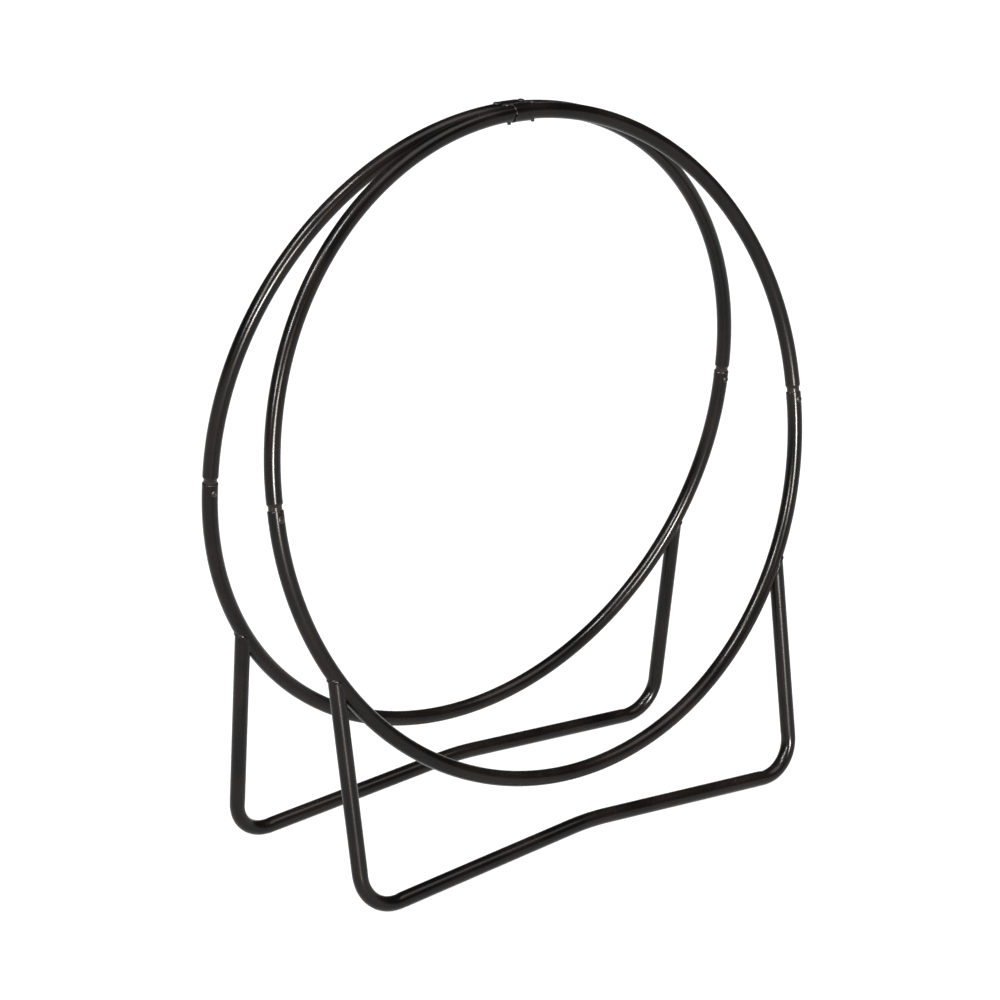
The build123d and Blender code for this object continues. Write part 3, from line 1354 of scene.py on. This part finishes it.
@dataclass
class Welds:
    """The beads round the leg tops and between the collars, under the enamel."""

    beads: BeadRecipe
    leg_bead: Bead = Bead(3.3 * MM)
    leg_sink: float = 1.7 * MM
    groove: float = 6.4 * MM
    groove_bead: Bead = Bead(2.9 * MM, taper=1.0, seed=9.1)
    groove_length: float = 25.0 * MM
    groove_arch: float = 19.0

    def build(self, stands: list[Stand], dresser: Dresser) -> None:
        """Builds and dresses every weld.

        Args:
            stands: The stands, whose legs are welded.
            dresser: Gives them their finish.
        """
        finish = dresser.materials[WELD_SLOT]
        # Each leg's bead has lumps of its own.
        for number, stand in enumerate(stands):
            for hand in Hand:
                node = f"{stand.hoop.side.value}_{hand.value}_leg_weld"
                line = stand.weld_line(hand, self.leg_sink)
                bead = replace(self.leg_bead, seed=3.7 * number + 1.3 * (hand is Hand.RIGHT))
                piece = self.beads.run(f"{node}_bead", [line], bead, finish)
                dresser.dress(piece, WELD_SLOT, node)
        self._build_collar_welds(dresser, finish)

    def _build_collar_welds(self, dresser: Dresser, finish: bpy.types.Material) -> None:
        """Builds the two beads in the grooves between the collars, arched as the collars are.

        Args:
            dresser: Gives them their material and body.
            finish: The material.
        """
        low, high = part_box("collar_welds")
        middle = (low + high) / 2
        lines = []
        for way in (1, -1):
            u = np.linspace(-0.5, 0.5, 24) * self.groove_length
            sag = -(u**2) / (2 * (high.x - low.x) * self.groove_arch)
            z = middle.z + way * self.groove + sag
            lines.append(np.stack([middle.x + u, np.full(u.shape, middle.y), z], axis=-1))
        bead = self.groove_bead
        piece = self.beads.run("collar_weld_beads", lines, bead, finish, closed=False)
        dresser.dress(piece, WELD_SLOT, "collar_welds")


@dataclass
class PanScrew:
    """A pan-head machine screw with a cross recess."""

    head_radius: float = 5.2 * MM
    head_edge: float = 0.8 * MM
    head_height: float = 2.7 * MM
    shank_radius: float = 3.0 * MM
    length: float = 28.0 * MM
    thread_length: float = 11.0 * MM
    pitch: float = 1.0 * MM
    thread_depth: float = 0.42 * MM
    tip: float = 0.9 * MM
    recess_depth: float = 1.8 * MM
    recess_reach: float = 1.75 * MM
    recess_width: float = 1.0 * MM
    sides: int = 40
    thread_rings: int = 8
    sharp: float = math.radians(38)

    def _lathe(self, z: Array, r: Array, wear: Array) -> Shell:
        """Turns a profile about Z, and cuts the thread near its lower end.

        Args:
            z: Heights of the profile, rising.
            r: Radii of the profile.
            wear: How worn each place is.

        Returns:
            The turned skin.
        """
        around = -np.linspace(0, math.tau, self.sides, endpoint=False)[None, :]
        z, r, wear = (np.repeat(a[:, None], self.sides, axis=1) for a in (z, r, wear))
        top = self.thread_length - self.length
        fade = smooth((top - z) / self.pitch)
        phase = (z / self.pitch - around / math.tau) % 1.0
        cut = self.thread_depth * np.abs(2 * phase - 1) * fade
        r = np.where(z < top, np.minimum(r, self.shank_radius - cut), r)
        points = np.stack([r * np.cos(around), r * np.sin(around), z], axis=-1)
        ridge = np.where(z < top, 0.55 * (1 - np.abs(2 * phase - 1)) * fade, wear)
        return Shell.from_rings(points, {"wear": ridge, "thin": 0 * ridge}, loop=False)

    def _head(self) -> Shell:
        """Builds the whole turned screw, before its recess.

        Returns:
            The skin.
        """
        shank, head, edge = self.shank_radius, self.head_radius, self.head_edge
        bottom, top = -self.length, self.thread_length - self.length
        rings = int(self.thread_length / self.pitch * self.thread_rings)
        thread = np.linspace(bottom + 0.05 * MM, top, rings)
        tip_r = np.minimum(shank, shank - self.tip + (thread - bottom))

        # The dome is almost flat in the middle and steep at its rim.
        share = np.linspace(0.0, 1.0, 14)[1:]
        dome_r = head * np.sqrt(1 - share**2 * 0.999)
        dome_z = edge + (self.head_height - edge) * (1 - (dome_r / head) ** 2.7) ** 0.62

        z = np.concatenate([[bottom], thread, [-0.01 * MM, 0, 0.25 * MM, 0.5 * MM, edge], dome_z])
        under = [shank, head * 0.93, head * 0.985, head, head]
        r = np.concatenate([[shank - self.tip - 0.05 * MM], tip_r, under, dome_r])
        plain = np.zeros(len(thread) + 3)
        wear = np.concatenate([plain, [0.3, 0.45, 0.35], 0.2 * np.ones(len(dome_r))])
        return self._lathe(z, r, wear)

    def _cutter(self) -> Shell:
        """Builds the tapered cross that cuts the recess.

        Returns:
            The cutter.
        """
        reach, half = self.recess_reach, self.recess_width / 2
        levels = [
            (self.head_height - self.recess_depth, reach - 0.5 * MM, half - 0.08 * MM),
            (self.head_height - 0.8 * self.recess_depth, reach, half),
            (self.head_height + 0.6 * MM, 2 * reach, half + 0.3 * MM),
        ]
        rings = []
        for z, reach, half in levels:
            arm = [(reach, -half), (reach, half), (half, half)]
            ring = [
                (x * math.cos(a) - y * math.sin(a), x * math.sin(a) + y * math.cos(a), z)
                for a in (0, math.pi / 2, math.pi, 3 * math.pi / 2)
                for x, y in arm
            ]
            rings.append(ring[::-1])
        rings = np.array(rings)
        plain = np.zeros(rings.shape[:2])
        return Shell.from_rings(rings, {"wear": plain + 0.8, "thin": plain}, loop=False)

    def build(self) -> bpy.types.Object:
        """Builds the screw, with its head's seat at z = 0.

        Returns:
            The screw, to be repeated and then removed.
        """
        screw, cutter = self._head().build("screw_pattern"), self._cutter().build("recess_cutter")
        cut = screw.modifiers.new("recess", "BOOLEAN")
        cut.operation, cut.solver, cut.object = "DIFFERENCE", "EXACT", cutter
        applied(screw).set_sharp_from_angle(angle=self.sharp)
        bpy.data.objects.remove(cutter)
        return screw


@dataclass
class Hardware:
    """The eight screws, and the rings of paint where their tips come out."""

    beads: BeadRecipe
    screws: ScrewRecipe
    screw: PanScrew = field(default_factory=PanScrew)
    lip: Bead = Bead(0.42 * MM, 2.0 * MM, ripple_depth=0.0, lumps=0.12 * MM, seed=4.4)
    lip_spread: float = 3.35 * MM
    seed: int = 11

    def _lip(self, seat: Vector, facing: Vector, along: Vector, tube: float) -> Array:
        """The ring on the far side of a tube round a screw's tip.

        Args:
            seat: Where the screw's head sits.
            facing: Which way the head faces.
            along: The tube's direction there.
            tube: The tube's radius.

        Returns:
            Points of the ring.
        """
        centre = np.array(seat - facing * tube)
        side = facing.cross(along).normalized()
        turn = np.linspace(0, math.tau, 32, endpoint=False)
        a, b = self.lip_spread * np.cos(turn), self.lip_spread * np.sin(turn)
        depth = np.sqrt(tube**2 - b**2)
        ring = a[:, None] * np.array(along) + b[:, None] * np.array(side)
        return centre + ring - depth[:, None] * np.array(facing)

    def build(self, hoops: list[Hoop], dresser: Dresser) -> None:
        """Builds and dresses the screws and the rings.

        Args:
            hoops: The hoops whose joints they hold.
            dresser: Gives them their finish.
        """
        pattern = self.screw.build()
        finish = dresser.materials[SCREW_SLOT]
        spins = np.random.default_rng(self.seed).uniform(0, math.pi / 2, 8)
        sets = {"side_joint": [], "top_joint": []}
        lips = []
        for i, (hoop, hand) in enumerate((hoop, hand) for hoop in hoops for hand in Hand):
            across = hoop.plane.direction(0, 1, 0)
            at, facing = hoop.side_seat(hand)
            sets["side_joint"].append((at, facing, float(spins[i])))
            lips.append(self._lip(at, facing, across, hoop.tube.radius))
            at, facing = hoop.top_seat(hand)
            sets["top_joint"].append((at, facing, float(spins[i + 4])))
            along = hoop.plane.direction(0, 0, 1).cross(facing)
            lips.append(self._lip(at, facing, along, hoop.tube.radius))
        for name, seats in sets.items():
            piece = self.screws.run(f"{name}_pan_screws", pattern, seats, finish)
            dresser.dress(piece, SCREW_SLOT, f"{name}_screws")
        bpy.data.objects.remove(pattern)
        enamel = dresser.materials[ENAMEL_SLOT]
        dresser.dress(self.beads.run("screw_hole_lips", lips, self.lip, enamel), ENAMEL_SLOT)


# --- the room ---


def standpoint(azimuth: float, elevation: float) -> Vector:
    """Unit vector to a place in degrees round from the front, to the right, and up."""
    a, e = math.radians(azimuth), math.radians(elevation)
    return Vector((math.sin(a) * math.cos(e), -math.cos(a) * math.cos(e), math.sin(e)))


@dataclass(frozen=True)
class FarLight:
    """One wide, far light: where it stands and how wide it looks, in degrees."""

    name: str
    azimuth: float
    elevation: float
    spread: float
    power: float
    colour: Colour
    shadow: bool = False

    def build(self) -> None:
        """Adds the light."""
        lamp = bpy.data.lights.new(self.name, "SUN")
        lamp.angle, lamp.energy, lamp.color = math.radians(self.spread), self.power, self.colour
        lamp.use_shadow = self.shadow
        towards = -standpoint(self.azimuth, self.elevation)
        light = linked(self.name, lamp)
        light.rotation_euler = towards.to_track_quat("-Z", "Y").to_euler()


@dataclass
class Studio:
    """Pale ground, soft lights and the camera."""

    aim: Vector = field(default_factory=lambda: Vector((-0.0309, 0.0045, 0.5200)))
    azimuth: float = -37.392
    elevation: float = 17.477
    roll: float = -0.659
    distance: float = 4.2153
    lens: float = 98.96
    ground_size: float = 160.0
    ground_drop: float = 0.3 * MM
    sky_colour: Colour = (1.0, 0.985, 0.965)
    sky_wall: float = 0.9
    sky_above: float = 0.08
    wall_top: float = 0.2
    wall_foot: float = 0.02
    strip: tuple[tuple[float, float], ...] = ((-66, 24), (-74, 40), (-84, 54), (-50, 64))
    cool: Colour = (0.97, 0.985, 1.0)
    warm: Colour = (1.0, 0.93, 0.87)
    soft: Colour = (1.0, 0.99, 0.98)

    def build_ground(self) -> None:
        """Lays the ground just under the rack."""
        half = self.ground_size / 2
        mesh = bpy.data.meshes.new("ground")
        corners = [(-half, -half), (half, -half), (half, half), (-half, half)]
        mesh.from_pydata([(x, y, -self.ground_drop) for x, y in corners], [], [(0, 1, 2, 3)])
        mesh.materials.append(Paper().material())
        linked("ground", mesh)

    def build_sky(self) -> None:
        """Sets a sky that is pale round the horizon and dim above, as a white wall is."""
        world = bpy.data.worlds.new("studio")
        bpy.context.scene.world = world
        world.use_nodes = True
        g = Graph(world.node_tree)
        ray = g.add("ShaderNodeTexCoord", output="Generated")
        height = g.add("ShaderNodeSeparateXYZ", {}, {0: ray}, output="Z")
        wall = height.between(self.wall_top, self.wall_foot)
        strength = self.sky_above + (self.sky_wall - self.sky_above) * wall
        values = {"Color": (*self.sky_colour, 1.0), "Strength": strength}
        sky = g.add("ShaderNodeBackground", {}, values)
        g.add("ShaderNodeOutputWorld", {}, {"Surface": sky}, output=None)

    def build_lights(self) -> None:
        """Sets a tall strip light on the left, two low lights in front and a soft one above."""
        for number, place in enumerate(self.strip):
            name = f"strip_light_{number}"
            FarLight(name, *place, spread=8, power=2.0, colour=self.cool).build()
        FarLight("front_light", -19, 3, spread=9, power=6.5, colour=self.warm).build()
        FarLight("right_light", -14, 12, spread=8, power=2.0, colour=self.warm).build()
        soft = FarLight("fill_light", 30, 66, spread=40, power=1.3, colour=self.soft, shadow=True)
        soft.build()
        bpy.context.scene.view_settings.view_transform = "Standard"

    def build_camera(self) -> None:
        """Sets up the camera."""
        back = standpoint(self.azimuth, self.elevation)
        roll = Matrix.Rotation(math.radians(self.roll), 3, "Z")
        lens = bpy.data.cameras.new("camera")
        lens.lens, lens.sensor_width = self.lens, 36.0
        lens.clip_start, lens.clip_end = 0.05, 200.0
        camera = linked("camera", lens)
        camera.location = self.aim + back * self.distance
        facing = (-back).to_track_quat("-Z", "Y").to_matrix()
        camera.rotation_euler = (facing @ roll).to_euler()
        bpy.context.scene.camera = camera


def finishes() -> dict[str, bpy.types.Material]:
    """Builds every finish.

    Returns:
        The materials, by the record's material slot.
    """
    coupler = Enamel("coupler_enamel_coat", roughness=0.3, peel_size=1.8 * MM)
    weld = Enamel("weld_enamel_coat", roughness=0.36, peel_size=1.4 * MM, peel_depth=0.02 * MM)
    screw = Plating(
        "black_plated_screw",
        plate=(0.008, 0.007, 0.0065),
        tint=(0.015, 0.013, 0.012),
        bare=(0.20, 0.185, 0.17),
        metallic=0.5,
    )
    nut = Plating(
        "zinc_plated_nut",
        plate=(0.52, 0.52, 0.50),
        tint=(0.58, 0.54, 0.42),
        roughness=0.28,
        metallic=1.0,
    )
    return {
        ENAMEL_SLOT: Enamel("black_enamel_coat").material(),
        COUPLER_SLOT: coupler.material(),
        WELD_SLOT: weld.material(),
        SCREW_SLOT: screw.material(),
        NUT_SLOT: nut.material(),
    }


def main() -> None:
    """Builds every piece in order, then the room."""
    logging.basicConfig(level=logging.INFO, format="%(name)s: %(message)s")
    dresser = Dresser(finishes())
    beads, screws = BeadRecipe(), ScrewRecipe()
    hoops = [Hoop(side) for side in Side]
    stands = [Stand(hoop) for hoop in hoops]
    for hoop, stand in zip(hoops, stands):
        LowerHalf(hoop).build(dresser)
        for hand in Hand:
            UpperQuarter(hoop, hand).build(dresser)
        Collar(hoop).build(dresser)
        stand.build(dresser)
    Welds(beads).build(stands, dresser)
    Hardware(beads, screws).build(hoops, dresser)
    for side in Side:
        dresser.repaint(f"{side.value}_top_spigot", COUPLER_SLOT)
    for node in ("side_joint_nuts", "top_joint_nuts"):
        dresser.repaint(node, NUT_SLOT)
    studio = Studio()
    studio.build_ground()
    studio.build_sky()
    studio.build_lights()
    studio.build_camera()


if __name__ == "__main__":
    main()
